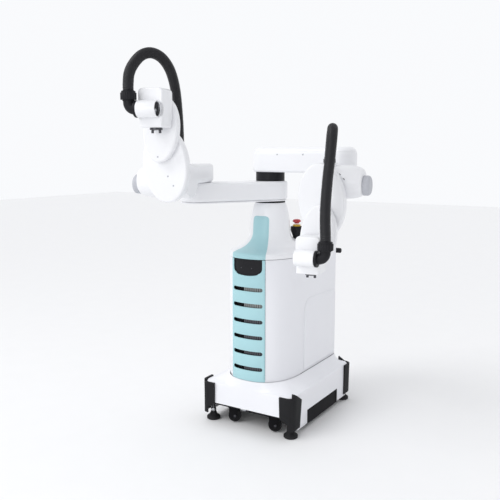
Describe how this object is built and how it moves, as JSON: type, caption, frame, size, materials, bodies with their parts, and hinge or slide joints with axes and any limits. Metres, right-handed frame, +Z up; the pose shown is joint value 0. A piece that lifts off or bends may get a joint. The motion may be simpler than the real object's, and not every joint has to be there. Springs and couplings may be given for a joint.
{
  "type": "dual-arm SCARA robot",
  "caption": "Dual-arm SCARA robot on a wheeled cart, with a vented cabinet tower, stacked level arms, folding lift links, tool flanges and arched hoses.",
  "frame": {"origin": "on the floor under the middle of the object's box, measured without the hoses", "axes": "+Z up, -Y the way the cabinet front faces, +X to the right as seen from the front"},
  "size_m": [0.9077, 1.3013, 1.6647],
  "materials": {
    "white_paint": "satin powder coat",
    "white_casting": "smooth satin",
    "teal_plastic": "satin",
    "black_plastic": "fine matt texture",
    "black_steel": "matt black paint",
    "black_rubber": "matt",
    "steel": "machined",
    "aluminium": "plain sheet",
    "grey_plastic": "satin",
    "red_plastic": "glossy",
    "yellow_plastic": "satin",
    "hose_rubber": "ribbed, matt"
  },
  "bodies": {
    "cart": {"base_shroud": "white_paint", "chassis": "black_steel", "front_left_bumper": "black_rubber", "front_left_foot": "black_rubber", "front_right_bumper": "black_rubber", "front_right_foot": "black_rubber", "rear_left_bumper": "black_rubber", "rear_left_foot": "black_rubber", "rear_right_bumper": "black_rubber", "rear_right_foot": "black_rubber", "cabinet_shell": "white_paint", "front_panel": "teal_plastic", "pocket_panel": "black_plastic", "left_side_cover": "white_paint", "right_side_cover": "white_paint", "rear_door": "white_paint", "push_handle": "black_plastic", "controller_box": "aluminium", "column": "steel", "neck_cover": "white_casting", "neck_panel": "teal_plastic", "seam_ring": "black_plastic", "shoulder_collar": "black_plastic", "estop_holder": "black_plastic", "estop_collar": "yellow_plastic"},
    "estop_button": {"estop_button": "red_plastic"},
    "lower_link1": {"lower_link1_housing": "white_casting", "lower_link1_cover": "white_casting"},
    "upper_link1": {"upper_link1_housing": "white_casting", "upper_link1_cover": "white_casting"},
    "front_left_caster_fork": {"front_left_caster_fork": "black_steel"},
    "front_left_caster_wheel": {"front_left_caster_wheel": "black_rubber"},
    "front_right_caster_fork": {"front_right_caster_fork": "black_steel"},
    "front_right_caster_wheel": {"front_right_caster_wheel": "black_rubber"},
    "rear_left_caster_fork": {"rear_left_caster_fork": "black_steel"},
    "rear_left_caster_wheel": {"rear_left_caster_wheel": "black_rubber"},
    "rear_right_caster_fork": {"rear_right_caster_fork": "black_steel"},
    "rear_right_caster_wheel": {"rear_right_caster_wheel": "black_rubber"},
    "left_link2": {"left_link2_housing": "white_casting", "left_drive_cap": "grey_plastic", "left_hose_gland": "black_plastic", "left_hose": "hose_rubber"},
    "left_lift_link": {"left_lift_link": "white_casting"},
    "left_follower_link": {"left_follower_link": "white_casting"},
    "left_wrist": {"left_wrist_housing": "white_casting", "left_hose_spool": "white_casting", "left_elbow_fitting": "black_plastic"},
    "left_tool_flange": {"left_tool_flange": "steel"},
    "right_link2": {"right_link2_housing": "white_casting", "right_drive_cap": "grey_plastic", "right_hose_gland": "black_plastic", "right_hose": "hose_rubber"},
    "right_lift_link": {"right_lift_link": "white_casting"},
    "right_follower_link": {"right_follower_link": "white_casting"},
    "right_wrist": {"right_wrist_housing": "white_casting", "right_hose_spool": "white_casting", "right_elbow_fitting": "black_plastic"},
    "right_tool_flange": {"right_tool_flange": "steel"}
  },
  "joints": [
    {"name": "lower_arm_turn", "type": "hinge", "parent": "cart", "child": "lower_link1", "pos_m": [-0.1282, 0.1857, 0], "axis": [0, 0, 1], "range_deg": [-135, 50]},
    {"name": "upper_arm_turn", "type": "hinge", "parent": "cart", "child": "upper_link1", "pos_m": [-0.1282, 0.1857, 0], "axis": [0, 0, 1], "range_deg": [-50, 80]},
    {"name": "left_elbow_turn", "type": "hinge", "parent": "lower_link1", "child": "left_link2", "pos_m": [-0.31876, -0.13145, 0], "axis": [0, 0, 1], "range_deg": [-150, 80]},
    {"name": "right_elbow_turn", "type": "hinge", "parent": "upper_link1", "child": "right_link2", "pos_m": [0.24129, 0.16634, 0], "axis": [0, 0, 1], "range_deg": [-50, 180]},
    {"name": "left_lift", "type": "hinge", "parent": "left_link2", "child": "left_lift_link", "pos_m": [-0.31876, -0.13145, 1.154], "axis": [-0.2588, 0.9659, 0], "range_deg": [-168, 0], "deforming": ["left_hose"]},
    {"name": "left_follower", "type": "hinge", "parent": "left_lift_link", "child": "left_follower_link", "pos_m": [-0.3327, -0.13518, 1.29124], "axis": [-0.2588, 0.9659, 0], "range_deg": [0, 336]},
    {"name": "left_wrist_level", "type": "hinge", "parent": "left_follower_link", "child": "left_wrist", "pos_m": [-0.31876, -0.13145, 1.42849], "axis": [-0.2588, 0.9659, 0], "range_deg": [-168, 0]},
    {"name": "left_tool_turn", "type": "hinge", "parent": "left_wrist", "child": "left_tool_flange", "pos_m": [-0.21135, -0.53231, 0], "axis": [0, 0, -1], "continuous": true},
    {"name": "right_lift", "type": "hinge", "parent": "right_link2", "child": "right_lift_link", "pos_m": [0.24129, 0.16634, 1.154], "axis": [0.1478, -0.989, 0], "range_deg": [0, 168], "deforming": ["right_hose"]},
    {"name": "right_follower", "type": "hinge", "parent": "right_lift_link", "child": "right_follower_link", "pos_m": [0.25556, 0.16847, 1.01676], "axis": [0.1478, -0.989, 0], "range_deg": [-336, 0]},
    {"name": "right_wrist_level", "type": "hinge", "parent": "right_follower_link", "child": "right_wrist", "pos_m": [0.24129, 0.16634, 0.87951], "axis": [0.1478, -0.989, 0], "range_deg": [0, 168]},
    {"name": "right_tool_turn", "type": "hinge", "parent": "right_wrist", "child": "right_tool_flange", "pos_m": [0.30263, -0.24411, 0], "axis": [0, 0, -1], "continuous": true},
    {"name": "estop_press", "type": "slide", "parent": "cart", "child": "estop_button", "axis": [0, 0, -1], "range_m": [0, 0.004], "stiffness_N_per_m": 2500},
    {"name": "front_left_caster_swivel", "type": "hinge", "parent": "cart", "child": "front_left_caster_fork", "pos_m": [-0.2382, 0.0167, 0.0865], "axis": [0, 0, 1], "continuous": true},
    {"name": "front_left_caster_roll", "type": "hinge", "parent": "front_left_caster_fork", "child": "front_left_caster_wheel", "pos_m": [-0.22463, 0.02518, 0.0355], "axis": [0.5299, -0.848, 0], "continuous": true},
    {"name": "front_right_caster_swivel", "type": "hinge", "parent": "cart", "child": "front_right_caster_fork", "pos_m": [-0.0182, 0.0167, 0.0865], "axis": [0, 0, 1], "continuous": true},
    {"name": "front_right_caster_roll", "type": "hinge", "parent": "front_right_caster_fork", "child": "front_right_caster_wheel", "pos_m": [-0.00463, 0.02518, 0.0355], "axis": [0.5299, -0.848, 0], "continuous": true},
    {"name": "rear_left_caster_swivel", "type": "hinge", "parent": "cart", "child": "rear_left_caster_fork", "pos_m": [-0.2382, 0.5747, 0.0865], "axis": [0, 0, 1], "continuous": true},
    {"name": "rear_left_caster_roll", "type": "hinge", "parent": "rear_left_caster_fork", "child": "rear_left_caster_wheel", "pos_m": [-0.22463, 0.58318, 0.0355], "axis": [0.5299, -0.848, 0], "continuous": true},
    {"name": "rear_right_caster_swivel", "type": "hinge", "parent": "cart", "child": "rear_right_caster_fork", "pos_m": [-0.0182, 0.5747, 0.0865], "axis": [0, 0, 1], "continuous": true},
    {"name": "rear_right_caster_roll", "type": "hinge", "parent": "rear_right_caster_fork", "child": "rear_right_caster_wheel", "pos_m": [-0.00463, 0.58318, 0.0355], "axis": [0.5299, -0.848, 0], "continuous": true}
  ],
  "couplings": [
    {"joint": "left_follower", "follows": "left_lift", "ratio": -2},
    {"joint": "left_wrist_level", "follows": "left_lift", "ratio": 1},
    {"joint": "right_follower", "follows": "right_lift", "ratio": -2},
    {"joint": "right_wrist_level", "follows": "right_lift", "ratio": 1}
  ]
}
